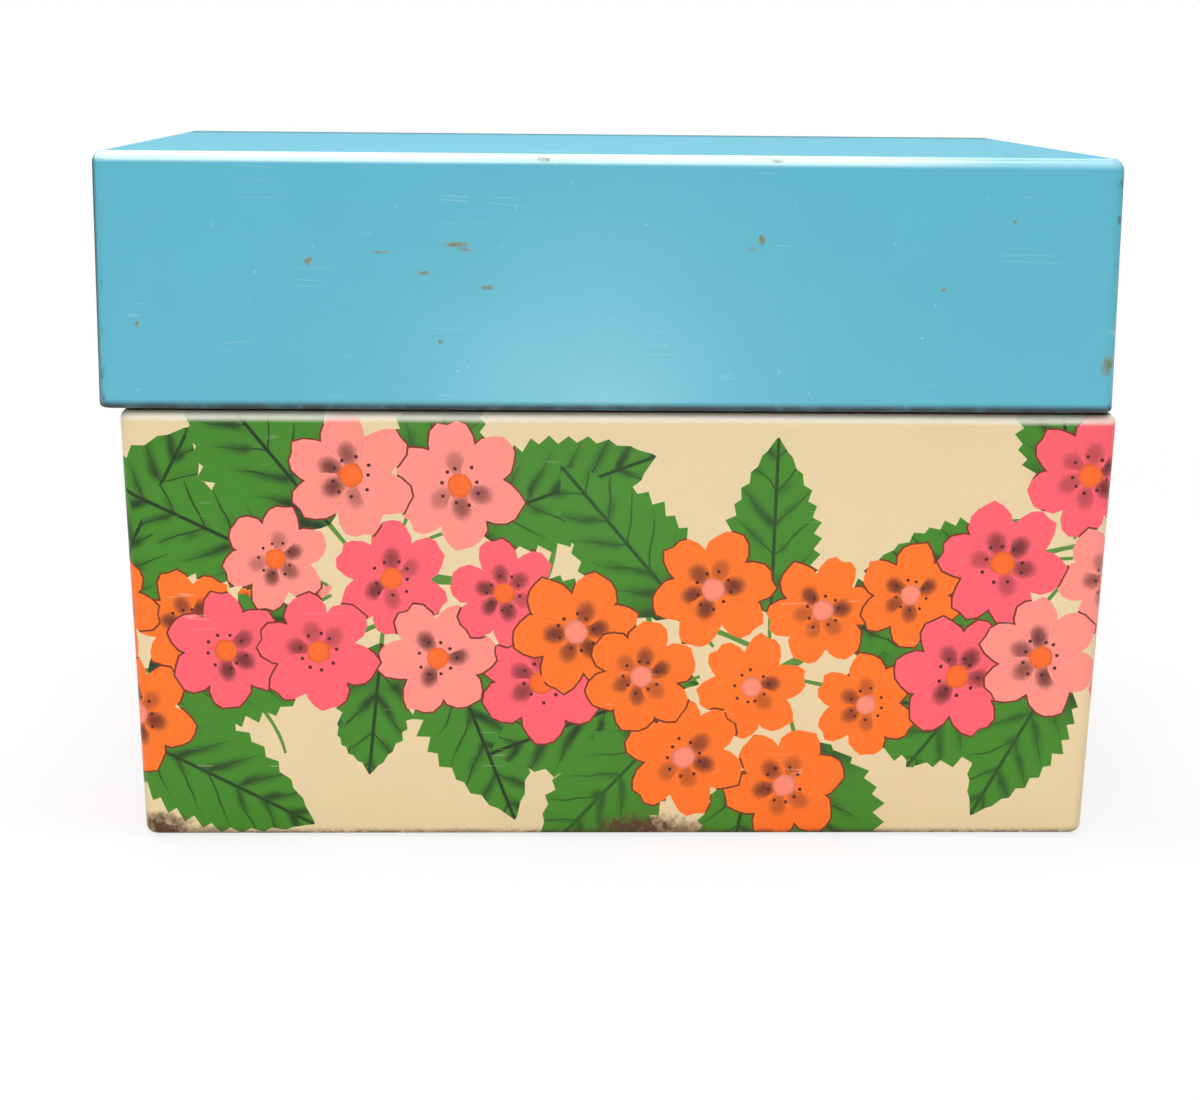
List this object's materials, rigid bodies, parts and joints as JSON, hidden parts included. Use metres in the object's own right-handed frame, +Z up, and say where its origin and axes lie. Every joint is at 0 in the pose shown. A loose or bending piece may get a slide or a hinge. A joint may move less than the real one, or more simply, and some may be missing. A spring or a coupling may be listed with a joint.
{
  "type": "recipe card box",
  "caption": "Tinplate box for recipe cards: tapered printed body with a rounded shoulder and neck, and a deep lid that swings back on a wire hinge.",
  "frame": {"origin": "centre of the underside, in the plane that the box stands on", "axes": "+X to the right seen from the front, along the box's width; +Y to the back, where the hinge is; +Z up"},
  "size_m": [0.1389, 0.0953, 0.0953],
  "materials": {
    "body_print": "cream lithographed tinplate with a floral print, satin varnish",
    "floor_tinplate": "lacquered tinplate, satin",
    "lid_enamel": "sky-blue baked enamel, semi-gloss",
    "hinge_steel": "drawn wire, dull with age",
    "strap_tinplate": "bare tinplate, dull with age"
  },
  "bodies": {
    "box": {"body_wall": "body_print", "body_floor": "floor_tinplate", "hinge_strap_left": "strap_tinplate", "hinge_strap_right": "strap_tinplate"},
    "lid": {"lid_shell": "lid_enamel", "hinge_wire": "hinge_steel"}
  },
  "joints": [
    {"name": "lid_hinge", "type": "hinge", "parent": "box", "child": "lid", "pos_m": [0, 0.04612, 0.0621], "axis": [-1, 0, 0], "range_deg": [0, 128]}
  ]
}
